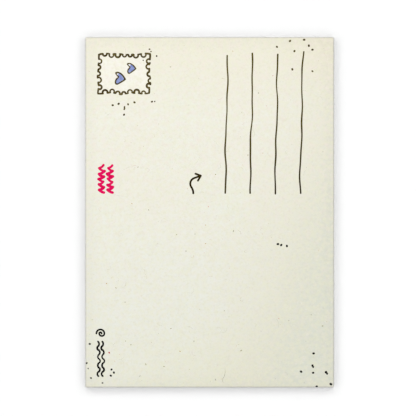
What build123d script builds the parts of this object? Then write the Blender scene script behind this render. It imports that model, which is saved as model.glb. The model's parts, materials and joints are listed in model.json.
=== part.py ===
from build123d import *

import os
from math import ceil, pi, sin

# An A6 postcard of recycled board, lying on its picture side with the writing side up.
# The origin is the middle of the picture side. +X runs along the card's width, +Y along its length
# and +Z out of the writing side. The card is held sideways to be read, with its -X edge at the top,
# so the stamp box is then at the upper right. All sizes are in millimetres.

# Board of three plies, cut to size by guillotine
CARD_WIDTH = 105.0
CARD_LENGTH = 148.0
CORNER_RADIUS = 0.5
LINER_THICKNESS = 0.09
CORE_THICKNESS = 0.20
EDGE_ROUND = 0.03

# Dried ink films, all of one thickness
INK_THICKNESS = 0.02

# An unsteady hand strays sideways in three waves. Each has its length, its share of the straying
# and its shift, in radians, from one stroke to the next.
HAND_WOBBLE = 0.22
LONG_WAVE_LENGTH = 37.0
MIDDLE_WAVE_LENGTH = 20.5
SHORT_WAVE_LENGTH = 12.0
HAND_WAVES = [
    (LONG_WAVE_LENGTH, 1.0, 0.75),
    (MIDDLE_WAVE_LENGTH, 0.6, 5.2),
    (SHORT_WAVE_LENGTH, 0.4, 1.9),
]

# The hand also presses harder and softer, and hardest over the first stretch of a line, which
# then swells by shares of its width. It bows and presses no two strokes alike, by shares and by
# shifts, in radians, from one to the next.
PEN_SWELL = 0.05
START_SWELL = 0.10
START_STRETCH = 30.0
BOW_UNEVENNESS = 0.3
BOW_SHIFT = 2.4
PRESS_UNEVENNESS = 0.15
PRESS_SHIFT = 1.3
STROKE_STEP = 2.5

# Address lines, counted from the middle of the card to its +X edge, with the top margin of each
FIRST_LINE_MARGIN = 7.7
SECOND_LINE_MARGIN = 6.8
THIRD_LINE_MARGIN = 7.2
FOURTH_LINE_MARGIN = 6.1
ADDRESS_TOP_MARGINS = [FIRST_LINE_MARGIN, SECOND_LINE_MARGIN, THIRD_LINE_MARGIN, FOURTH_LINE_MARGIN]
ADDRESS_LINE_PITCH = 10.6
ADDRESS_LINE_LENGTH = 59.0
ADDRESS_LINE_WIDTH = 0.60
ADDRESS_LINE_LEAN = 1.2
ADDRESS_SIDE_MARGIN = 13.6

# Curved arrow that rises beside the first address line and hooks over towards it
ARROW_RISE_RADIUS = 4.6
ARROW_RISE_TURN = 35.0
ARROW_HOOK_RADIUS = 2.5
ARROW_HOOK_TURN = 105.0
ARROW_HEAD_RUN = 3.0
ARROW_BARB_LENGTH = 2.4
ARROW_BARB_ANGLE = 40.0
ARROW_LINE_WIDTH = 0.82
ARROW_LINE_GAP = 14.0

# Stamp box, drawn like a stamp's perforated edge: round notches with short flat teeth between them
STAMP_WIDTH = 22.4
STAMP_HEIGHT = 17.2
STAMP_SIDE_MARGIN = 5.1
STAMP_TOP_MARGIN = 6.8
STAMP_LINE_WIDTH = 0.76
STAMP_CORNER_RUN = 2.0
NOTCH_WIDTH = 1.75
NOTCH_DEPTH = 1.1
TOOTH_WIDTH = 1.0
TOOTH_BOW = 0.08

# Two plain hearts in the stamp box: the place from its middle, width, height and turn of each
HEARTS = [
    (-1.7, -2.0, 5.7, 5.1, -3.0),
    (3.1, 2.3, 4.8, 4.3, 2.0),
]

# Outline of an uneven heart of width and height 1 that points along +X, and of the fill inside its pen line.
# Each has the points from the tip round the upper lobe to the cleft, and those round the lower lobe.
HEART_OUTLINE = (
    [(0.51, -0.04), (0.25, 0.28), (-0.07, 0.47), (-0.33, 0.48), (-0.43, 0.41), (-0.38, 0.29), (-0.19, 0.08)],
    [(-0.35, -0.04), (-0.42, -0.24), (-0.37, -0.43), (-0.27, -0.48), (-0.02, -0.39), (0.28, -0.22)],
)
HEART_FILL = (
    [(0.34, -0.04), (0.18, 0.18), (-0.09, 0.36), (-0.23, 0.38), (-0.28, 0.34), (-0.20, 0.24), (-0.08, 0.08)],
    [(-0.22, -0.08), (-0.30, -0.23), (-0.27, -0.35), (-0.21, -0.37), (-0.05, -0.29), (0.19, -0.14)],
)

# Zigzags are drawn with strokes that bow by this share of their length
ZIGZAG_BOW = 0.09

# Two pink zigzags beside the -X edge
PINK_LINE_COUNT = 2
PINK_LINE_LENGTH = 11.5
PINK_LINE_PITCH = 3.7
PINK_LINE_WIDTH = 1.12
PINK_ZIGZAG_PITCH = 2.2
PINK_ZIGZAG_DEPTH = 3.2
PINK_SIDE_MARGIN = 6.7
PINK_TOP_MARGIN = 54.2

# Two wavy black lines side by side, up from the lower corner at the -X edge, and a black spiral above them
MARK_LINE_COUNT = 2
MARK_LINE_LENGTH = 14.6
MARK_LINE_PITCH = 1.9
MARK_LINE_WIDTH = 0.74
MARK_WAVE_LENGTH = 3.6
MARK_WAVE_DEPTH = 1.7
MARK_SIDE_MARGIN = 6.3
MARK_BOTTOM_MARGIN = 4.7
SPIRAL_WIDTH = 4.1
SPIRAL_LINE_WIDTH = 0.74
SPIRAL_GAP = 0.44
SPIRAL_LINE_GAP = 1.4

# Ink specks: each has its place from the corner named, and its diameter
SPECK_OVAL = 1.12
SPECK_TURN = 47.0
SPECKS_TOP_RIGHT = [
    (-12.5, -1.0, 1.00),
    (-18.5, -1.5, 0.98),
    (-10.5, -3.5, 1.00),
    (-24.0, -4.0, 0.88),
    (-9.0, -5.2, 0.94),
    (-16.6, -5.8, 0.95),
    (-17.5, -13.5, 0.96),
    (-9.0, -14.3, 0.82),
]
SPECKS_BESIDE_STAMP = [
    (-0.4, 1.8, 0.68),
    (0.2, 0.8, 0.62),
    (2.6, -1.1, 0.72),
    (-3.1, -2.9, 0.55),
]
SPECKS_BELOW_STAMP = [
    (6.4, -4.7, 0.92),
    (8.9, -4.1, 0.98),
    (11.4, -5.4, 0.70),
    (11.4, -5.9, 0.72),
    (11.3, -6.4, 0.70),
    (11.2, -8.7, 0.88),
    (12.9, -4.3, 0.84),
    (15.6, -3.5, 0.93),
    (23.0, -3.2, 0.86),
    (24.2, -3.1, 0.58),
]
SPECKS_BELOW_ADDRESS = [
    (-23.6, -21.5, 1.03),
    (-22.2, -21.9, 1.01),
    (-19.8, -22.3, 0.97),
]
SPECKS_LOWER_LEFT = [
    (1.8, 18.3, 0.86),
    (0.5, 10.2, 0.80),
    (1.1, 7.9, 0.55),
    (2.3, 3.9, 0.77),
    (7.2, 1.8, 0.66),
    (11.0, 7.5, 0.86),
    (12.0, 6.2, 0.92),
    (10.7, 4.9, 0.92),
]
SPECKS_LOWER_RIGHT = [
    (-8.5, 14.3, 1.02),
    (-9.0, 9.2, 0.94),
    (-8.7, 8.6, 0.86),
    (-13.8, 6.6, 1.02),
    (-8.7, 6.1, 0.94),
    (-3.3, 6.4, 1.02),
    (-2.8, 5.8, 0.92),
    (-1.2, 1.3, 1.12),
    (-7.2, 0.3, 0.95),
]

# Heights of the stack, from the table up
front_liner_base = INK_THICKNESS
core_base = front_liner_base + LINER_THICKNESS
back_liner_base = core_base + CORE_THICKNESS
writing_plane = Plane.XY.offset(back_liner_base + LINER_THICKNESS)

# Edges of the card and corners of the stamp box
right, top = CARD_WIDTH / 2, CARD_LENGTH / 2
left, bottom = -right, -top
stamp_left = left + STAMP_SIDE_MARGIN
stamp_right = stamp_left + STAMP_WIDTH
stamp_top = top - STAMP_TOP_MARGIN
stamp_bottom = stamp_top - STAMP_HEIGHT
stamp_x = (stamp_left + stamp_right) / 2
stamp_y = (stamp_bottom + stamp_top) / 2


def export_piece(part, label):
    """Names a finished piece and writes it to its own file."""
    part.label = label
    export_step(part, f"parts/{label}.step")


def card_layer(base, thickness):
    """A layer over the whole card, from height base up."""
    with BuildPart() as layer:
        with BuildSketch(Plane.XY.offset(base)):
            RectangleRounded(CARD_WIDTH, CARD_LENGTH, CORNER_RADIUS)
        extrude(amount=thickness)
    return layer.part


def sway(run, hand):
    """A hand's unsteadiness after a run, mostly from -1 to 1. Each stroke has its own number, hand."""
    return sum(share * sin(2 * pi * run / length + shift * hand) for length, share, shift in HAND_WAVES)


def wobble(run, hand):
    """How far a stroke strays sideways after a run."""
    return HAND_WOBBLE * sway(run, hand)


def spaced(low, high, step):
    """Evenly spaced heights from low to high, at most step apart."""
    count = max(3, ceil((high - low) / step) + 1)
    return [low + (high - low) * i / (count - 1) for i in range(count)]


def stroke_film(middle, width, hand):
    """The ink film of an upward stroke with round ends, along the points of its middle."""
    first_x, first_y = middle[0]
    last_x, last_y = middle[-1]
    reaches = []
    for x, y in middle:
        run = y - first_y
        press = START_SWELL * max(0, 1 - run / START_STRETCH)
        reaches.append(width * (0.5 + press + PEN_SWELL * sway(run, -hand)))
    with BuildPart() as film:
        with BuildSketch(writing_plane):
            with BuildLine():
                left_side = Spline(*[(x - reach, y) for (x, y), reach in zip(middle, reaches)])
                right_side = Spline(*[(x + reach, y) for (x, y), reach in zip(middle, reaches)])
                ThreePointArc(left_side @ 0, (first_x, first_y - reaches[0]), right_side @ 0)
                ThreePointArc(left_side @ 1, (last_x, last_y + reaches[-1]), right_side @ 1)
            make_face()
        extrude(amount=INK_THICKNESS)
    return film.part


def bowed_film(strokes, width):
    """The ink film of strokes, each from a start to an end with a bow to one side."""
    with BuildPart() as film:
        with BuildSketch(writing_plane):
            for number, (start, end, bow) in enumerate(strokes):
                bow_change = 1 + BOW_UNEVENNESS * sin(BOW_SHIFT * number)
                press_change = 1 + PRESS_UNEVENNESS * sin(PRESS_SHIFT * number)
                with BuildLine(mode=Mode.PRIVATE) as stroke:
                    SagittaArc(start, end, bow * bow_change)
                SlotArc(stroke.edge(), width * press_change)
        extrude(amount=INK_THICKNESS)
    return film.part


def zigzag_film(x, low, length, pitch, depth, width, hand):
    """The ink film of a zigzag of the given depth that runs up along x from y = low."""
    count = max(2, round(2 * length / pitch))
    points = []
    for step in range(count + 1):
        side = 1 if step % 2 == 0 else -1
        across = x + side * (depth - width) / 2
        along = low + length * step / count
        stray_across = wobble(along - low, hand * step)
        stray_along = wobble(across - x, hand * step) / 2
        points.append((across + stray_across, along + stray_along))
    strokes = []
    for step in range(count):
        side = 1 if step % 2 == 0 else -1
        run = (Vector(points[step + 1]) - Vector(points[step])).length
        strokes.append((points[step], points[step + 1], side * ZIGZAG_BOW * run))
    return bowed_film(strokes, width)


def wave_film(x, low, length, wave_length, depth, width, hand):
    """The ink film of a wavy line of the given depth that runs up along x from y = low."""
    count = max(2, round(2 * length / wave_length))
    points = []
    for step in range(count + 1):
        run = length * step / count
        points.append((x + wobble(run, hand), low + run))
    strokes = []
    for step in range(count):
        side = 1 if step % 2 == 0 else -1
        strokes.append((points[step], points[step + 1], side * (depth - width) / 2))
    return bowed_film(strokes, width)


def frame_side(start_x, start_y, run_x, run_y, length):
    """Places of the notches and teeth along one side of the stamp box, from corner to corner."""
    straight = length - 2 * STAMP_CORNER_RUN
    notches = max(1, round((straight + TOOTH_WIDTH) / (NOTCH_WIDTH + TOOTH_WIDTH)))
    stretch = straight / (notches * (NOTCH_WIDTH + TOOTH_WIDTH) - TOOTH_WIDTH)
    runs = [0, STAMP_CORNER_RUN]
    for step in range(2 * notches - 1):
        runs.append(runs[-1] + stretch * (NOTCH_WIDTH if step % 2 == 0 else TOOTH_WIDTH))
    points = []
    for step, along in enumerate(runs):
        x = start_x + along * run_x
        y = start_y + along * run_y
        points.append((x + wobble(y - stamp_y, step), y + wobble(x - stamp_x, step)))
    return points


def frame_strokes():
    """The strokes of the line round the stamp box, anticlockwise. Every second one is a notch."""
    half_width = (STAMP_WIDTH - STAMP_LINE_WIDTH) / 2
    half_height = (STAMP_HEIGHT - STAMP_LINE_WIDTH) / 2
    sides = [
        frame_side(stamp_x - half_width, stamp_y - half_height, 1, 0, 2 * half_width),
        frame_side(stamp_x + half_width, stamp_y - half_height, 0, 1, 2 * half_height),
        frame_side(stamp_x + half_width, stamp_y + half_height, -1, 0, 2 * half_width),
        frame_side(stamp_x - half_width, stamp_y + half_height, 0, -1, 2 * half_height),
    ]
    strokes = []
    for side, points in enumerate(sides):
        ends = points[1:] + sides[(side + 1) % len(sides)][:1]
        for step, (start, end) in enumerate(zip(points, ends)):
            strokes.append((start, end, NOTCH_DEPTH if step % 2 == 1 else -TOOTH_BOW))
    return strokes


def heart_film(outline, x, y, width, height, turn):
    """The ink film inside a heart's outline with its middle at x, y. Unturned, its tip points along +X."""
    upper, lower = [[(height * along, width * aside) for along, aside in points] for points in outline]
    with BuildPart() as film:
        with BuildSketch(writing_plane * Pos(x, y) * Rot(0, 0, turn)):
            with BuildLine():
                Spline(*upper)
                Spline(upper[-1], *lower, upper[0])
            make_face()
        extrude(amount=INK_THICKNESS)
    return film.part


os.makedirs("parts", exist_ok=True)

# Picture side: one print over the whole face
export_piece(card_layer(0, INK_THICKNESS), "picture_print")

# Board plies. The writing side's edge is rounded where the blade came in.
export_piece(card_layer(front_liner_base, LINER_THICKNESS), "front_liner")
export_piece(card_layer(core_base, CORE_THICKNESS), "board_core")
with BuildPart() as back_liner:
    with BuildSketch(Plane.XY.offset(back_liner_base)):
        RectangleRounded(CARD_WIDTH, CARD_LENGTH, CORNER_RADIUS)
    extrude(amount=LINER_THICKNESS)
    fillet(back_liner.faces().sort_by(Axis.Z)[-1].edges(), min(EDGE_ROUND, 0.45 * LINER_THICKNESS))
export_piece(back_liner.part, "back_liner")

# Address lines. Their upper ends lean towards the +X edge.
address_low = top - sum(ADDRESS_TOP_MARGINS) / len(ADDRESS_TOP_MARGINS) - ADDRESS_LINE_LENGTH
first_line_x = right - ADDRESS_SIDE_MARGIN - (len(ADDRESS_TOP_MARGINS) - 1) * ADDRESS_LINE_PITCH
for number, margin in enumerate(ADDRESS_TOP_MARGINS, start=1):
    line_x = first_line_x + (number - 1) * ADDRESS_LINE_PITCH
    middle = []
    for y in spaced(address_low + wobble(line_x - first_line_x, number), top - margin, STROKE_STEP):
        run = y - address_low
        lean = ADDRESS_LINE_LEAN * (run / ADDRESS_LINE_LENGTH - 0.5)
        middle.append((line_x + lean + wobble(run, number), y))
    export_piece(stroke_film(middle, ADDRESS_LINE_WIDTH, number), f"address_line_{number}")

# Arrow: a shaft of two arcs that turn opposite ways and a straight end, and two barbs
arrow_foot = (first_line_x - ARROW_LINE_GAP, address_low)
with BuildLine():
    rise = JernArc(arrow_foot, (0, 1), ARROW_RISE_RADIUS, ARROW_RISE_TURN)
    hook = JernArc(rise @ 1, rise % 1, ARROW_HOOK_RADIUS, -ARROW_HOOK_TURN)
    head = Line(hook @ 1, hook @ 1 + (hook % 1) * ARROW_HEAD_RUN)
with BuildPart() as address_arrow:
    with BuildSketch(writing_plane):
        for edge in (rise, hook, head):
            SlotArc(edge, ARROW_LINE_WIDTH)
        for side in (-1, 1):
            back = (-(head % 1)).rotate(Axis.Z, side * ARROW_BARB_ANGLE)
            with BuildLine(mode=Mode.PRIVATE) as barb:
                Line(head @ 1, head @ 1 + back * ARROW_BARB_LENGTH)
            SlotArc(barb.edge(), ARROW_LINE_WIDTH)
    extrude(amount=INK_THICKNESS)
export_piece(address_arrow.part, "address_arrow")

# Stamp box
export_piece(bowed_film(frame_strokes(), STAMP_LINE_WIDTH), "stamp_frame")

# Hearts: a blue fill in a pen line
for number, (x, y, *heart) in enumerate(HEARTS, start=1):
    place = (stamp_x + x, stamp_y + y)
    fill = heart_film(HEART_FILL, *place, *heart)
    with BuildPart() as heart_line:
        add(heart_film(HEART_OUTLINE, *place, *heart))
        add(fill, mode=Mode.SUBTRACT)
    export_piece(fill, f"heart_fill_{number}")
    export_piece(heart_line.part, f"heart_line_{number}")

# Pink zigzags
pink_low = top - PINK_TOP_MARGIN - PINK_LINE_LENGTH
for number in range(1, PINK_LINE_COUNT + 1):
    pink_line = zigzag_film(
        left + PINK_SIDE_MARGIN + (number - 1) * PINK_LINE_PITCH,
        pink_low,
        PINK_LINE_LENGTH,
        PINK_ZIGZAG_PITCH,
        PINK_ZIGZAG_DEPTH,
        PINK_LINE_WIDTH,
        number,
    )
    export_piece(pink_line, f"pink_line_{number}")

# Wavy black lines
mark_x = left + MARK_SIDE_MARGIN
mark_low = bottom + MARK_BOTTOM_MARGIN
for number in range(1, MARK_LINE_COUNT + 1):
    black_line = wave_film(
        mark_x + (number - (MARK_LINE_COUNT + 1) / 2) * MARK_LINE_PITCH,
        mark_low,
        MARK_LINE_LENGTH,
        MARK_WAVE_LENGTH,
        MARK_WAVE_DEPTH,
        MARK_LINE_WIDTH,
        number,
    )
    export_piece(black_line, f"black_line_{number}")

# Black spiral of half turns that shrink inwards
spiral_y = mark_low + MARK_LINE_LENGTH + SPIRAL_LINE_GAP + SPIRAL_WIDTH / 2
with BuildPart() as black_spiral:
    with BuildSketch(writing_plane):
        radius = (SPIRAL_WIDTH - SPIRAL_LINE_WIDTH) / 2
        start = Vector(mark_x - radius, spiral_y)
        across = Vector(1, 0)
        while radius > SPIRAL_LINE_WIDTH / 2:
            end = start + across * 2 * radius
            with BuildLine(mode=Mode.PRIVATE) as half_turn:
                SagittaArc(start, end, radius)
            SlotArc(half_turn.edge(), SPIRAL_LINE_WIDTH)
            start = end
            across = -across
            radius -= (SPIRAL_LINE_WIDTH + SPIRAL_GAP) / 2
    extrude(amount=INK_THICKNESS)
export_piece(black_spiral.part, "black_spiral")

# Specks, trimmed with the board where they reach its edge
speck_groups = {
    "specks_top_right": (right, top, SPECKS_TOP_RIGHT),
    "specks_beside_stamp": (stamp_right, stamp_top, SPECKS_BESIDE_STAMP),
    "specks_below_stamp": (stamp_left, stamp_bottom, SPECKS_BELOW_STAMP),
    "specks_below_address": (right, address_low, SPECKS_BELOW_ADDRESS),
    "specks_lower_left": (left, bottom, SPECKS_LOWER_LEFT),
    "specks_lower_right": (right, bottom, SPECKS_LOWER_RIGHT),
}
for group_name, (corner_x, corner_y, places) in speck_groups.items():
    with BuildPart() as specks:
        with BuildSketch(writing_plane):
            for number, (x, y, diameter) in enumerate(places):
                with Locations((corner_x + x, corner_y + y)):
                    reach = diameter / 2 * SPECK_OVAL
                    Ellipse(reach, reach / SPECK_OVAL**2, rotation=number * SPECK_TURN)
            RectangleRounded(
                CARD_WIDTH - 2 * EDGE_ROUND,
                CARD_LENGTH - 2 * EDGE_ROUND,
                CORNER_RADIUS,
                mode=Mode.INTERSECT,
            )
        extrude(amount=INK_THICKNESS)
    export_piece(specks.part, group_name)
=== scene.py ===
import json
import math
import random

import bmesh
import bpy
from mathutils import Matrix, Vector


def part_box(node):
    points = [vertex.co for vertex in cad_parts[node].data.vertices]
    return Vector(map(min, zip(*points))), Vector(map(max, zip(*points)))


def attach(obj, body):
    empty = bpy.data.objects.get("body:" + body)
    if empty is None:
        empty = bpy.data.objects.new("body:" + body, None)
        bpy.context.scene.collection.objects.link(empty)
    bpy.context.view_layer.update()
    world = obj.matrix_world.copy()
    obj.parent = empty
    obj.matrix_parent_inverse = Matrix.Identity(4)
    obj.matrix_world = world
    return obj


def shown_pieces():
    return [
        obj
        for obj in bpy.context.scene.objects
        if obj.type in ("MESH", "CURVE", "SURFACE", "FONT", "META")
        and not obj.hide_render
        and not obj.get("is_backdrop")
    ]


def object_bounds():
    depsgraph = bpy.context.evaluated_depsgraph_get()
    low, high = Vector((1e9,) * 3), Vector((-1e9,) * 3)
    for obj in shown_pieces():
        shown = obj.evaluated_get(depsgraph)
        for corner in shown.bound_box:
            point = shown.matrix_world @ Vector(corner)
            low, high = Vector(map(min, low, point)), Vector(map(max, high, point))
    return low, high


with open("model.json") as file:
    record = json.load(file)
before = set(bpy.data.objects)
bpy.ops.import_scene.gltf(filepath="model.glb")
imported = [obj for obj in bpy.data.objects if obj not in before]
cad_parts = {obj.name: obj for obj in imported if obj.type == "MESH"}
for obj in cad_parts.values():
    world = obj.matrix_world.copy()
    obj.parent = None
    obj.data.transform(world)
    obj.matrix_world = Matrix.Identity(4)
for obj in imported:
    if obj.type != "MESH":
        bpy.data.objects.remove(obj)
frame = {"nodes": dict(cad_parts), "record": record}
nodes = frame["nodes"]
cad_low, cad_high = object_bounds()

# The looks of a postcard of recycled board that lies on its picture side. All lengths are in metres.
MM = 0.001
SEED = 20
random.seed(SEED)

# Places that the CAD gives
board_low, board_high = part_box("back_liner")
WRITING_HEIGHT = board_high.z
HALF_WIDTH = board_high.x
HALF_LENGTH = board_high.y
stamp_low, stamp_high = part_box("stamp_frame")

# Camera: straight above the card, with the card a little right of and below the picture's middle
VIEW_WIDTH = 176.0 * MM
LENS = 100.0
SENSOR = 36.0
CAMERA_X = -0.68 * MM
CAMERA_Y = 1.82 * MM

# Light on the card: an even sky, which looks white, and one soft lamp beyond the card's top edge
SKY_LIGHT = 0.63
SKY_LOOK = 1.0
LAMP_PLACE = (-0.20, 0.50, 0.62)
LAMP_SIZE = 0.45
LAMP_POWER = 3.25

# Light on the floor: the sky, and low soft suns all round that give the card a soft narrow shadow.
# They swing in strength round the card, and are strongest at one angle, in radians. Each ring of suns
# has its height above the horizon and its width, both in degrees, and its brightness on the floor.
FLOOR_SIZE = 6.0
FLOOR_DEPTH = 0.01 * MM
FLOOR_TONE = 0.34
SUN_COUNT = 8
SUN_SWING = 0.49
SUN_STRONGEST = 1.672
SUN_RINGS = [
    (5.7, 6.6, 0.41),
    (11.9, 19.9, 0.16),
    (36.0, 30.0, 0.23),
]

# In the surfaces below, a pattern of noise has the size of its spots, a shift that sets it apart from
# the others, and its detail. A span has the start and the end of a range, and the share at each.
# A tone is a screen colour from 0 to 255. In a run of tones, each has its place in the pattern.
SHIFT_LEAN = 0.7
SPECULAR = {
    "board": 0.2,
    "core": 0.15,
    "ink": 0.04,
    "hearts": 0.25,
    "picture": 0.3,
    "pulp": 0.15,
    "floor": 0.0,
}
ROUGHNESS = {
    "core": 0.95,
    "hearts": 0.7,
    "pulp": 0.92,
    "floor": 0.95,
}
RELIEF_DEPTHS = {
    "board": 0.012 * MM,
    "core": 0.02 * MM,
    "ink": 0.004 * MM,
    "hearts": 0.004 * MM,
    "picture": 0.005 * MM,
    "pulp": 0.003 * MM,
}

# Ways over the card, each by its shares of X and Y
WAYS = {
    "across": (1.0, 0.0),
    "up": (0.0, 1.0),
    "aslant": (1.0, -0.3),
    "cornerwise": (1.0, 1.0),
}

# Board: a cloudy cream under washes, partly its own tone and partly painted shade that darkens it to the
# right and the bottom. Each wash has its spans along ways over the card, and its tone.
CLOUDS = (26 * MM, 0.05, 2.0)
CLOUD_TONES = [(0.32, (242, 240, 228)), (0.52, (242, 242, 231)), (0.70, (240, 242, 229))]
BOARD_TONE_AND_SHADE_WASHES = [
    ({"up": (36 * MM, HALF_LENGTH, 0.0, 0.9)}, (239, 236, 219)),
    ({"up": (-40 * MM, 20 * MM, 0.6, 0.0)}, (239, 241, 233)),
    ({"up": (-HALF_LENGTH, -40 * MM, 0.9, 0.0), "across": (-HALF_WIDTH, 10 * MM, 0.3, 1.0)}, (238, 239, 221)),
    ({"aslant": (0.0, 60 * MM, 0.0, 0.9)}, (233, 231, 214)),
    ({"aslant": (32 * MM, 62 * MM, 0.0, 0.7)}, (222, 227, 215)),
    ({"cornerwise": (88 * MM, HALF_WIDTH + HALF_LENGTH, 0.0, 0.35)}, (232, 220, 196)),
]

# The board darkens towards its edges and is paler inside the stamp box. Its narrow rim at the cut is
# partly soil and partly painted shade of the cut edge and its contact shadow. These spans go by the depth
# inside the card or the box, and the last of the rim's by the grain.
EDGE_DARKENING = (0.0, 7 * MM, 0.17, 0.0)
EDGE_DARKENING_TONE = (206, 204, 188)
STAMP_GROUND = (0.5 * MM, 2.0 * MM, 0.0, 0.9)
STAMP_GROUND_TONE = (249, 247, 238)
CUT_DIRT_AND_SHADE = (0.05 * MM, 0.45 * MM, 0.75, 0.0)
CUT_DIRT_AND_SHADE_GRAIN = (0.3, 0.6, 0.8, 1.0)
CUT_DIRT_AND_SHADE_TONE = (176, 174, 162)

# Mottling of the board: each kind has its pattern and the span over it, its spans along ways over the
# card, and its tone. The patches also differ in roughness, and the tooth is a relief without a tone.
MOTTLES = {
    "patches": ((5 * MM, 0.11, 3.0), (0.40, 0.75, 0.0, 0.07), {}, (214, 210, 184)),
    "yellow": ((1.7 * MM, 0.37, 3.0), (0.30, 0.72, 0.0, 0.55), {}, (239, 238, 210)),
    "rose": (
        (2.2 * MM, 0.47, 3.0),
        (0.40, 0.75, 0.0, 1.0),
        {"up": (-30 * MM, 30 * MM, 0.25, 0.5)},
        (244, 233, 224),
    ),
    "grain": ((0.9 * MM, 0.17, 4.0), (0.45, 0.80, 0.0, 0.20), {}, (208, 204, 178)),
    "pale": ((0.7 * MM, 0.31, 2.0), (0.55, 0.80, 0.0, 0.30), {}, (249, 248, 241)),
}
BOARD_ROUGHNESS = (0.3, 0.7, 0.86, 0.97)
BOARD_TOOTH = (0.35 * MM, 0.23, 4.0)

# Cut edge of the middle ply: a pattern that is squeezed upright
CORE_LAYERS = (0.5 * MM, 0.07, 4.0)
CORE_SQUEEZE = (1, 1, 9)
CORE_TONES = [(0.3, (206, 202, 182)), (0.55, (222, 219, 202)), (0.75, (232, 230, 216))]

# Inks: the pale and the deep tone of each, and how far the board shows through its pores
INKS = {
    "brown_ink": ((106, 94, 52), (50, 38, 4), 0.2),
    "black_ink": ((14, 13, 9), (3, 3, 2), 0.05),
    "pink_ink": ((236, 14, 100), (216, 0, 78), 0.12),
}
INK_COVER = (0.8 * MM, 0.13, 3.0)
INK_COVER_RANGE = (0.3, 0.7)
INK_ROUGHNESS = (0.82, 0.64)
INK_PORES = (0.22 * MM, 0.29, 2.0)
INK_PORE_RANGE = (0.62, 0.72)
INK_PORE_TONE = (205, 200, 176)

# Ink of the address lines and the arrow: it darkens downwards, and thins out to the left on the lines
PEN_INK = ((82, 72, 4), (60, 49, 0), 0.1)
PEN_DARKENING = ({"up": (4 * MM, 46 * MM, 1.0, 0.0)}, (38, 27, 2))
PEN_THINNING = ({"across": (-8 * MM, 40 * MM, 0.3, 0.0)}, (128, 118, 70))

# Hearts: a watery wash with a pale grain, and an unpainted gleam at the upper left of each fill.
# The gleam's middle is inset from the fill's edges, and its span goes by the distance from there.
HEART_FILLS = ("heart_fill_1", "heart_fill_2")
HEART_WASH = (1.5 * MM, 0.41, 3.0)
HEART_TONES = [(0.32, (112, 126, 188)), (0.52, (134, 148, 200)), (0.72, (164, 174, 214))]
HEART_GRAIN = (0.3 * MM, 0.19, 2.0)
HEART_GRAIN_SPAN = (0.55, 0.75, 0.0, 0.25)
HEART_GRAIN_TONE = (196, 204, 228)
GLEAM_INSET = 0.35 * MM
GLEAM = (0.255 * MM, 0.85 * MM, 0.9, 0.0)
GLEAM_TONE = (244, 244, 240)

# Picture side: an unprinted margin, a sky, a sun, and hills in rows from the farthest to the nearest.
# The picture's top is the card's -X edge. Each hill has its height, swing, length and tone.
PICTURE_MARGIN = 4.0 * MM
PICTURE_MARGIN_EDGE = 0.1 * MM
PICTURE_MARGIN_TONE = (240, 239, 228)
PICTURE_HORIZON = -5 * MM
PICTURE_SKY_TONES = [(0.0, (246, 226, 206)), (0.45, (238, 198, 200)), (1.0, (172, 180, 216))]
PICTURE_SUN_PLACE = (22.0 * MM, 18.0 * MM)
PICTURE_SUN_RADIUS = 9.0 * MM
PICTURE_SUN_EDGE = 0.3 * MM
PICTURE_SUN_TONE = (240, 132, 140)
HILL_DETAIL = 2.0
HILL_SHIFT = 0.3
HILL_EDGE = 0.2 * MM
HILLS = [
    (6.0 * MM, 16.0 * MM, 34.0 * MM, (176, 182, 218)),
    (-6.0 * MM, 18.0 * MM, 27.0 * MM, (142, 152, 204)),
    (-19.0 * MM, 15.0 * MM, 41.0 * MM, (120, 138, 178)),
    (-33.0 * MM, 12.0 * MM, 30.0 * MM, (92, 112, 140)),
]
PICTURE_GRAIN = (0.5 * MM, 0.53, 4.0)
PICTURE_GRAIN_SPAN = (0.50, 0.78, 0.0, 0.35)
PICTURE_GRAIN_TONE = (246, 243, 232)
PICTURE_ROUGHNESS = (0.3, 0.7, 0.52, 0.68)

# Fibres and flecks of the board's pulp pale in blotches, by a share of the way to a pale level
PULP_BLOTCHES = (0.3 * MM, 0.61, 2.0)
PULP_BLOTCH_RANGE = (0.35, 0.70)
PULP_PALING = 0.3
PULP_PALE_LEVEL = 238

# Fibres in the board: the number, greatest width, length range and tone of each kind
FIBRE_STEPS = 9
FIBRE_DEPTH = 0.008 * MM
FIBRE_BEND = 0.5
FIBRE_TAPER = 0.5
FIBRE_MARGIN = 0.8 * MM
FIBRE_WIDTH_SHARES = (0.5, 1.0)
FIBRE_KINDS = {
    "fibres_grey": (34, 0.06 * MM, (2.0 * MM, 6.0 * MM), (176, 174, 152)),
    "fibres_brown": (22, 0.07 * MM, (1.5 * MM, 4.0 * MM), (164, 146, 106)),
    "fibres_rose": (12, 0.06 * MM, (1.2 * MM, 3.0 * MM), (206, 142, 128)),
}

# One dark hair near the lower edge: its places in millimetres, from end to end
HAIR_WIDTH = 0.13 * MM
HAIR_TONE = (136, 132, 104)
HAIR_PLACES = [
    (6.5, -65.3),
    (6.6, -67.7),
    (6.3, -69.1),
    (5.6, -70.4),
    (5.5, -71.5),
    (6.4, -72.6),
]

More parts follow.
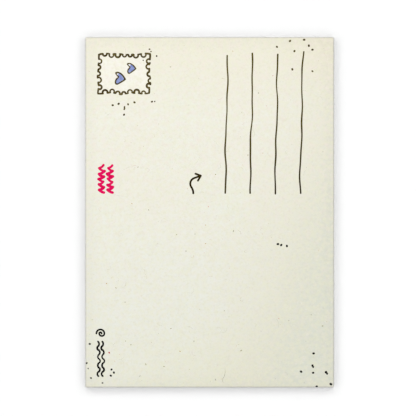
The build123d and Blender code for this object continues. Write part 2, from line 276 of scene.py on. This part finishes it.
# Flecks in the board: the tone of each kind, the places and sizes in millimetres of those that stand
# out, and the number and size range of the faint ones that are spread over the card
FLECK_CORNERS = 7
FLECK_DEPTH = 0.007 * MM
FLECK_STRETCHES = (1.0, 1.7)
FLECK_REACHES = (0.7, 1.1)
FLECK_TONES = {
    "olive": (170, 166, 124),
    "grey": (174, 173, 152),
    "ochre": (196, 164, 96),
    "rose": (222, 168, 150),
    "red": (190, 66, 70),
}
FLECK_PLACES = {
    "olive": [
        (-30.3, 19.1, 0.55),
        (-13.9, -9.4, 0.50),
        (-16.4, -49.2, 0.60),
        (-33.3, -56.0, 0.60),
        (-35.6, -54.5, 0.45),
        (-27.0, -64.3, 0.70),
        (-19.3, -65.2, 0.65),
        (6.3, -41.7, 0.45),
        (47.8, -48.1, 0.75),
        (13.3, -58.5, 0.70),
        (16.2, 24.2, 0.60),
        (-39.6, -32.0, 0.60),
        (-16.6, 61.5, 0.60),
        (2.5, 16.0, 0.55),
    ],
    "grey": [
        (20.7, 50.5, 0.65),
        (-25.8, 1.0, 0.55),
        (-35.8, -38.0, 0.50),
        (-6.6, -54.5, 0.60),
        (-29.5, -69.3, 0.55),
        (43.0, -43.4, 0.60),
        (2.5, -70.8, 0.75),
        (33.5, -45.8, 0.45),
        (-10.0, -16.4, 0.60),
        (10.1, -7.9, 0.70),
        (-6.2, -9.2, 0.50),
    ],
    "ochre": [
        (9.8, 68.2, 0.50),
        (-32.9, 3.7, 0.55),
        (-1.8, -5.4, 0.45),
        (-12.5, -58.8, 0.60),
        (-43.6, -30.1, 0.55),
        (-1.7, -13.2, 0.55),
    ],
    "rose": [
        (-0.5, 2.4, 0.50),
        (29.2, -44.9, 0.45),
        (24.0, 45.0, 0.40),
    ],
    "red": [
        (26.7, 57.8, 0.36),
        (-42.5, -59.4, 0.78),
    ],
}
FAINT_FLECKS = {"olive": 34, "grey": 30, "ochre": 16, "rose": 14, "red": 2}
FAINT_SIZES = (0.16, 0.36)
FAINT_SPREAD = 0.98


def tone(red, green, blue):
    """A screen colour from 0 to 255 as the linear colour that shaders take."""
    linear = []
    for value in (red, green, blue):
        share = value / 255
        linear.append(share / 12.92 if share <= 0.04045 else ((share + 0.055) / 1.055) ** 2.4)
    return (*linear, 1.0)


class Surface:
    """A procedural material that is put together node by node, in the card's own coordinates."""

    def __init__(self, name, specular):
        self.material = bpy.data.materials.new(name)
        self.material.use_nodes = True
        self.tree = self.material.node_tree
        self.shader = self.tree.nodes["Principled BSDF"]
        self.shader.inputs["Specular IOR Level"].default_value = specular
        self.place = self.add("ShaderNodeTexCoord").outputs["Object"]

    def add(self, kind, settings=(), **inputs):
        """A new node. Each input is a number, a colour or another node's output."""
        node = self.tree.nodes.new(kind)
        for name, value in dict(settings).items():
            setattr(node, name, value)
        for name, value in inputs.items():
            self.put(node.inputs[name], value)
        return node

    def put(self, socket, value):
        if isinstance(value, bpy.types.NodeSocket):
            self.tree.links.new(value, socket)
        else:
            socket.default_value = value

    def noise(self, size, shift, detail, squeeze=(1, 1, 1)):
        """Clouds about size across, from 0 to 1. The shift makes patterns differ."""
        where = self.add("ShaderNodeMapping", Vector=self.place)
        where.inputs["Location"].default_value = (shift, SHIFT_LEAN * shift, 0.0)
        where.inputs["Scale"].default_value = squeeze
        place = where.outputs["Vector"]
        clouds = self.add("ShaderNodeTexNoise", Vector=place, Scale=1 / size, Detail=detail)
        return clouds.outputs["Fac"]

    def ridge(self, along, size, shift):
        """A wavy line over the distance along, from 0 to 1, with waves of about the given size."""
        place = self.math("ADD", along, shift)
        settings = {"noise_dimensions": "1D"}
        waves = self.add("ShaderNodeTexNoise", settings, W=place, Scale=1 / size, Detail=HILL_DETAIL)
        return waves.outputs["Fac"]

    def span(self, value, low, high, start=0.0, end=1.0):
        """Value from low to high, as a smooth rise from start to end."""
        node = self.add("ShaderNodeMapRange", {"interpolation_type": "SMOOTHSTEP"}, Value=value)
        node.inputs["From Min"].default_value = low
        node.inputs["From Max"].default_value = high
        node.inputs["To Min"].default_value = start
        node.inputs["To Max"].default_value = end
        return node.outputs["Result"]

    def math(self, operation, first, second=0.0):
        node = self.add("ShaderNodeMath", {"operation": operation})
        self.put(node.inputs[0], first)
        self.put(node.inputs[1], second)
        return node.outputs["Value"]

    def mix(self, share, first, second):
        """First where share is 0 and second where it is 1. Inputs 6 and 7 and output 2 are the colours."""
        node = self.add("ShaderNodeMix", {"data_type": "RGBA"})
        self.put(node.inputs["Factor"], share)
        self.put(node.inputs[6], first)
        self.put(node.inputs[7], second)
        return node.outputs[2]

    def tint(self, share, colour, shade):
        """The colour where share is 0, and a tone where it is 1."""
        return self.mix(share, colour, tone(*shade))

    def ramp(self, value, stops):
        """A colour that runs through the stops, each a place from 0 to 1 and a tone."""
        node = self.add("ShaderNodeValToRGB", Fac=value)
        band = node.color_ramp
        while len(band.elements) < len(stops):
            band.elements.new(1.0)
        for element, (position, shade) in zip(band.elements, stops):
            element.position = position
            element.color = tone(*shade)
        return node.outputs["Color"]

    def axis(self, name):
        return self.add("ShaderNodeSeparateXYZ", Vector=self.place).outputs[name]

    def way(self, name):
        """How far a point lies along a way over the card."""
        x_share, y_share = WAYS[name]
        x_part = self.math("MULTIPLY", self.axis("X"), x_share)
        y_part = self.math("MULTIPLY", self.axis("Y"), y_share)
        return self.math("ADD", x_part, y_part)

    def spread(self, spans, share=1.0):
        """The share, times what the spans give along their ways over the card."""
        for name, span in spans.items():
            share = self.math("MULTIPLY", share, self.span(self.way(name), *span))
        return share

    def wash(self, colour, washes):
        """The colour under washes, each with its spans along ways over the card, and its tone."""
        for spans, shade in washes:
            colour = self.tint(self.spread(spans), colour, shade)
        return colour

    def distance(self, across, above):
        """The distance of a point from another that lies this far across and above."""
        squares = self.math("ADD", self.math("MULTIPLY", across, across), self.math("MULTIPLY", above, above))
        return self.math("SQRT", squares)

    def depths(self, low, high):
        """How far a point lies inside the box from low to high, along X and along Y."""
        found = []
        for name, start, end in (("X", low.x, high.x), ("Y", low.y, high.y)):
            middle = (start + end) / 2
            off = self.math("ABSOLUTE", self.math("SUBTRACT", self.axis(name), middle))
            found.append(self.math("SUBTRACT", (end - start) / 2, off))
        return found

    def inside(self, low, high):
        """How far a point lies inside the upright box from low to high, seen from above."""
        return self.math("MINIMUM", *self.depths(low, high))

    def bump(self, height, depth):
        node = self.add("ShaderNodeBump", Height=height, Strength=1.0, Distance=depth)
        self.put(self.shader.inputs["Normal"], node.outputs["Normal"])

    def colour(self, value):
        self.put(self.shader.inputs["Base Color"], value)

    def roughness(self, value):
        self.put(self.shader.inputs["Roughness"], value)


def board_surface():
    """Recycled board: cream, cloudy, painted shade to the lower right, soil and painted shade at the cut."""
    s = Surface("board_liner", SPECULAR["board"])
    # The washes give the board's own tone and painted shade, darker to the right and the bottom
    colour = s.wash(s.ramp(s.noise(*CLOUDS), CLOUD_TONES), BOARD_TONE_AND_SHADE_WASHES)
    # The board darkens towards its edges
    for depth in s.depths(board_low, board_high):
        colour = s.tint(s.span(depth, *EDGE_DARKENING), colour, EDGE_DARKENING_TONE)
    ground = s.span(s.inside(stamp_low, stamp_high), *STAMP_GROUND)
    colour = s.tint(ground, colour, STAMP_GROUND_TONE)
    spots = {}
    for kind, (pattern, span, spans, shade) in MOTTLES.items():
        spots[kind] = s.noise(*pattern)
        share = s.spread(spans, s.span(spots[kind], *span))
        colour = s.tint(share, colour, shade)
    # Rim at the cut: partly soil, partly painted shade of the cut edge and its contact shadow
    cut_dirt_and_shade = s.span(s.inside(board_low, board_high), *CUT_DIRT_AND_SHADE)
    cut_dirt_and_shade = s.math("MULTIPLY", cut_dirt_and_shade, s.span(spots["grain"], *CUT_DIRT_AND_SHADE_GRAIN))
    s.colour(s.tint(cut_dirt_and_shade, colour, CUT_DIRT_AND_SHADE_TONE))
    s.roughness(s.span(spots["patches"], *BOARD_ROUGHNESS))
    s.bump(s.noise(*BOARD_TOOTH), RELIEF_DEPTHS["board"])
    return s.material


def core_surface():
    """Cut edge of the middle ply: greyer, with fibres that lie flat."""
    s = Surface("board_core", SPECULAR["core"])
    layers = s.noise(*CORE_LAYERS, CORE_SQUEEZE)
    s.colour(s.ramp(layers, CORE_TONES))
    s.roughness(ROUGHNESS["core"])
    s.bump(layers, RELIEF_DEPTHS["core"])
    return s.material


def ink_surface(name, pale, deep, showing, washes=()):
    """Matt ink that covers the board unevenly, and lets it show through pores."""
    s = Surface(name, SPECULAR["ink"])
    cover = s.noise(*INK_COVER)
    colour = s.mix(s.span(cover, *INK_COVER_RANGE), tone(*pale), tone(*deep))
    colour = s.wash(colour, washes)
    pores = s.noise(*INK_PORES)
    s.colour(s.tint(s.span(pores, *INK_PORE_RANGE, 0.0, showing), colour, INK_PORE_TONE))
    s.roughness(s.span(cover, *INK_COVER_RANGE, *INK_ROUGHNESS))
    s.bump(pores, RELIEF_DEPTHS["ink"])
    return s.material


def heart_surface():
    """Watery blue ink that leaves a gleam unpainted in each heart."""
    s = Surface("blue_ink", SPECULAR["hearts"])
    colour = s.ramp(s.noise(*HEART_WASH), HEART_TONES)
    grain = s.noise(*HEART_GRAIN)
    colour = s.tint(s.span(grain, *HEART_GRAIN_SPAN), colour, HEART_GRAIN_TONE)
    for fill in HEART_FILLS:
        low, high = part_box(fill)
        across = s.math("SUBTRACT", s.axis("X"), low.x + GLEAM_INSET)
        above = s.math("SUBTRACT", s.axis("Y"), high.y - GLEAM_INSET)
        colour = s.tint(s.span(s.distance(across, above), *GLEAM), colour, GLEAM_TONE)
    s.colour(colour)
    s.roughness(ROUGHNESS["hearts"])
    s.bump(grain, RELIEF_DEPTHS["hearts"])
    return s.material


def picture_surface():
    """A plain landscape print: a sky that pales to the horizon, a sun and rows of hills."""
    s = Surface("picture_ink", SPECULAR["picture"])
    up = s.math("MULTIPLY", s.axis("X"), -1.0)
    along = s.axis("Y")
    colour = s.ramp(s.span(up, PICTURE_HORIZON, HALF_WIDTH), PICTURE_SKY_TONES)
    sun_along, sun_up = PICTURE_SUN_PLACE
    from_sun = s.distance(s.math("SUBTRACT", along, sun_along), s.math("SUBTRACT", up, sun_up))
    disc = s.span(from_sun, PICTURE_SUN_RADIUS - PICTURE_SUN_EDGE, PICTURE_SUN_RADIUS, 1.0, 0.0)
    colour = s.tint(disc, colour, PICTURE_SUN_TONE)
    for number, (height, swing, length, shade) in enumerate(HILLS):
        wave = s.math("SUBTRACT", s.ridge(along, length, HILL_SHIFT * number), 0.5)
        rise = s.math("MULTIPLY", wave, 2 * swing)
        depth = s.math("SUBTRACT", s.math("ADD", rise, height), up)
        colour = s.tint(s.span(depth, -HILL_EDGE, HILL_EDGE), colour, shade)
    margin_start = PICTURE_MARGIN - PICTURE_MARGIN_EDGE
    margin_end = PICTURE_MARGIN + PICTURE_MARGIN_EDGE
    margin = s.span(s.inside(cad_low, cad_high), margin_start, margin_end, 1.0, 0.0)
    colour = s.tint(margin, colour, PICTURE_MARGIN_TONE)
    grain = s.noise(*PICTURE_GRAIN)
    s.colour(s.tint(s.span(grain, *PICTURE_GRAIN_SPAN), colour, PICTURE_GRAIN_TONE))
    s.roughness(s.span(grain, *PICTURE_ROUGHNESS))
    s.bump(grain, RELIEF_DEPTHS["picture"])
    return s.material


def pulp_surface(name, shade):
    """A fibre or fleck of the board's pulp, dyed through and a little uneven."""
    s = Surface(name, SPECULAR["pulp"])
    blotches = s.noise(*PULP_BLOTCHES)
    paler = [value + PULP_PALING * (PULP_PALE_LEVEL - value) for value in shade]
    s.colour(s.mix(s.span(blotches, *PULP_BLOTCH_RANGE), tone(*shade), tone(*paler)))
    s.roughness(ROUGHNESS["pulp"])
    s.bump(blotches, RELIEF_DEPTHS["pulp"])
    return s.material


# Materials of the CAD nodes, by the record's slots, and of those drawn with the pen, by their names
materials = {
    "board_liner": board_surface(),
    "board_core": core_surface(),
    "picture_ink": picture_surface(),
    "blue_ink": heart_surface(),
}
for slot, ink in INKS.items():
    materials[slot] = ink_surface(slot, *ink)
pen_materials = {
    "address_line": ink_surface("line_ink", *PEN_INK, [PEN_DARKENING, PEN_THINNING]),
    "address_arrow": ink_surface("arrow_ink", *PEN_INK, [PEN_DARKENING]),
}
for subpart in frame["record"]["subparts"]:
    material = materials[subpart["material_slot"]]
    for start, pen_material in pen_materials.items():
        if subpart["node"].startswith(start):
            material = pen_material
    part = nodes[subpart["node"]]
    part.data.materials.clear()
    part.data.materials.append(material)


def add_piece(name, rims, material):
    """Adds a piece of the board's pulp: closed islands, each of rings between a first and a last point."""
    mesh = bmesh.new()
    for first, rings, last in rims:
        start = mesh.verts.new(first)
        end = mesh.verts.new(last)
        loops = [[mesh.verts.new(place) for place in ring] for ring in rings]
        count = len(loops[0])
        for corner in range(count):
            after = (corner + 1) % count
            mesh.faces.new((start, loops[0][corner], loops[0][after]))
            mesh.faces.new((end, loops[-1][after], loops[-1][corner]))
            for near, far in zip(loops, loops[1:]):
                mesh.faces.new((near[corner], far[corner], far[after], near[after]))
    bmesh.ops.recalc_face_normals(mesh, faces=mesh.faces)
    data = bpy.data.meshes.new(name)
    mesh.to_mesh(data)
    mesh.free()
    data.materials.append(material)
    piece = bpy.data.objects.new(name, data)
    bpy.context.scene.collection.objects.link(piece)
    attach(piece, "root")


def fibre_rims(path, width):
    """A flat fibre along the path, half sunk in the board and thin at both ends."""
    path = [Vector((x, y, WRITING_HEIGHT)) for x, y in path]
    rings = []
    for number in range(1, len(path) - 1):
        run = (path[number + 1] - path[number - 1]).normalized()
        aside = Vector((-run.y, run.x, 0.0))
        thinning = math.sin(math.pi * number / (len(path) - 1)) ** FIBRE_TAPER
        reach = aside * (width / 2 * thinning)
        rise = Vector((0.0, 0.0, FIBRE_DEPTH * thinning))
        middle = path[number]
        rings.append([middle + reach, middle + rise, middle - reach, middle - rise])
    return path[0], rings, path[-1]


def random_path(length):
    """A gently curling path that starts somewhere on the card and stays on it."""
    margin = FIBRE_MARGIN + length
    x = random.uniform(margin - HALF_WIDTH, HALF_WIDTH - margin)
    y = random.uniform(margin - HALF_LENGTH, HALF_LENGTH - margin)
    heading = random.uniform(0, 2 * math.pi)
    curl = random.uniform(-FIBRE_BEND, FIBRE_BEND)
    path = []
    for step in range(FIBRE_STEPS):
        path.append((x, y))
        heading += curl + random.uniform(-FIBRE_BEND, FIBRE_BEND) / 2
        x += length / (FIBRE_STEPS - 1) * math.cos(heading)
        y += length / (FIBRE_STEPS - 1) * math.sin(heading)
    return path


def fleck_rims(x, y, size):
    """An irregular flat fleck, half sunk in the board."""
    middle = Vector((x, y, WRITING_HEIGHT))
    rise = Vector((0.0, 0.0, FLECK_DEPTH))
    turn = random.uniform(0, math.pi)
    stretch = random.uniform(*FLECK_STRETCHES)
    ring = []
    for corner in range(FLECK_CORNERS):
        angle = 2 * math.pi * corner / FLECK_CORNERS
        reach = size / 2 * random.uniform(*FLECK_REACHES)
        along = reach * stretch * math.cos(angle)
        aside = reach / stretch * math.sin(angle)
        offset = (
            along * math.cos(turn) - aside * math.sin(turn),
            along * math.sin(turn) + aside * math.cos(turn),
            0.0,
        )
        ring.append(middle + Vector(offset))
    return middle + rise, [ring], middle - rise


# Fibres, hair and flecks of the recycled pulp
for kind, (count, width, lengths, shade) in FIBRE_KINDS.items():
    fibres = []
    for number in range(count):
        path = random_path(random.uniform(*lengths))
        fibres.append(fibre_rims(path, width * random.uniform(*FIBRE_WIDTH_SHARES)))
    add_piece(kind, fibres, pulp_surface(kind, shade))
hair = fibre_rims([(x * MM, y * MM) for x, y in HAIR_PLACES], HAIR_WIDTH)
add_piece("fibre_hair", [hair], pulp_surface("fibre_hair", HAIR_TONE))
for kind, places in FLECK_PLACES.items():
    flecks = [fleck_rims(x * MM, y * MM, size * MM) for x, y, size in places]
    for number in range(FAINT_FLECKS[kind]):
        x = random.uniform(-FAINT_SPREAD, FAINT_SPREAD) * HALF_WIDTH
        y = random.uniform(-FAINT_SPREAD, FAINT_SPREAD) * HALF_LENGTH
        flecks.append(fleck_rims(x, y, random.uniform(*FAINT_SIZES) * MM))
    add_piece(f"flecks_{kind}", flecks, pulp_surface(f"flecks_{kind}", FLECK_TONES[kind]))

# Floor
floor_mesh = bpy.data.meshes.new("floor")
half = FLOOR_SIZE / 2
corners = [(-half, -half), (half, -half), (half, half), (-half, half)]
floor_mesh.from_pydata([(x, y, -FLOOR_DEPTH) for x, y in corners], [], [(0, 1, 2, 3)])
floor = bpy.data.objects.new("floor", floor_mesh)
bpy.context.scene.collection.objects.link(floor)
floor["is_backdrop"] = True
paper = Surface("floor", SPECULAR["floor"])
paper.colour((FLOOR_TONE, FLOOR_TONE, FLOOR_TONE, 1.0))
paper.roughness(ROUGHNESS["floor"])
floor_mesh.materials.append(paper.material)

# Groups for the lights that reach only the card, or only the floor
lit_floor = bpy.data.collections.new("lit_floor")
lit_floor.objects.link(floor)
lit_card = bpy.data.collections.new("lit_card")
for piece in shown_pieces():
    lit_card.objects.link(piece)

# Sky: white where it is seen, mirrored or looked through to, and dimmer as a light
world = bpy.data.worlds.new("sky")
bpy.context.scene.world = world
world.use_nodes = True
sky_nodes = world.node_tree.nodes
sky_links = world.node_tree.links
sky = sky_nodes["Background"]
sky.inputs["Color"].default_value = (1, 1, 1, 1)
rays = sky_nodes.new("ShaderNodeLightPath")
seen = rays.outputs["Is Camera Ray"]
for kind in ("Is Glossy Ray", "Is Transmission Ray"):
    either = sky_nodes.new("ShaderNodeMath")
    either.operation = "MAXIMUM"
    sky_links.new(seen, either.inputs[0])
    sky_links.new(rays.outputs[kind], either.inputs[1])
    seen = either.outputs[0]
strength = sky_nodes.new("ShaderNodeMapRange")
sky_links.new(seen, strength.inputs["Value"])
strength.inputs["To Min"].default_value = SKY_LIGHT
strength.inputs["To Max"].default_value = SKY_LOOK
sky_links.new(strength.outputs["Result"], sky.inputs["Strength"])

# Lamp on the card
lamp_data = bpy.data.lights.new("lamp", "AREA")
lamp_data.shape = "DISK"
lamp_data.size = LAMP_SIZE
lamp_data.energy = LAMP_POWER
lamp = bpy.data.objects.new("lamp", lamp_data)
bpy.context.scene.collection.objects.link(lamp)
lamp.location = LAMP_PLACE
lamp.rotation_euler = (-Vector(LAMP_PLACE)).to_track_quat("-Z", "Y").to_euler()
lamp.light_linking.receiver_collection = lit_card

# Suns on the floor
for number in range(SUN_COUNT):
    azimuth = 2 * math.pi * number / SUN_COUNT
    share = (1 + SUN_SWING * math.cos(azimuth - SUN_STRONGEST)) / SUN_COUNT
    for elevation, width, brightness in SUN_RINGS:
        height = math.radians(elevation)
        sun_data = bpy.data.lights.new("sun", "SUN")
        sun_data.energy = share * brightness * math.pi / (FLOOR_TONE * math.sin(height))
        sun_data.angle = math.radians(width)
        sun = bpy.data.objects.new("sun", sun_data)
        bpy.context.scene.collection.objects.link(sun)
        level = math.cos(height)
        towards = Vector((math.cos(azimuth) * level, math.sin(azimuth) * level, math.sin(height)))
        sun.rotation_euler = towards.to_track_quat("Z", "Y").to_euler()
        sun.light_linking.receiver_collection = lit_floor

# Camera
camera_data = bpy.data.cameras.new("camera")
camera_data.lens = LENS
camera_data.sensor_width = SENSOR
camera = bpy.data.objects.new("camera", camera_data)
bpy.context.scene.collection.objects.link(camera)
camera.location = (CAMERA_X, CAMERA_Y, WRITING_HEIGHT + VIEW_WIDTH * LENS / SENSOR)
bpy.context.scene.camera = camera
bpy.context.scene.view_settings.view_transform = "Standard"
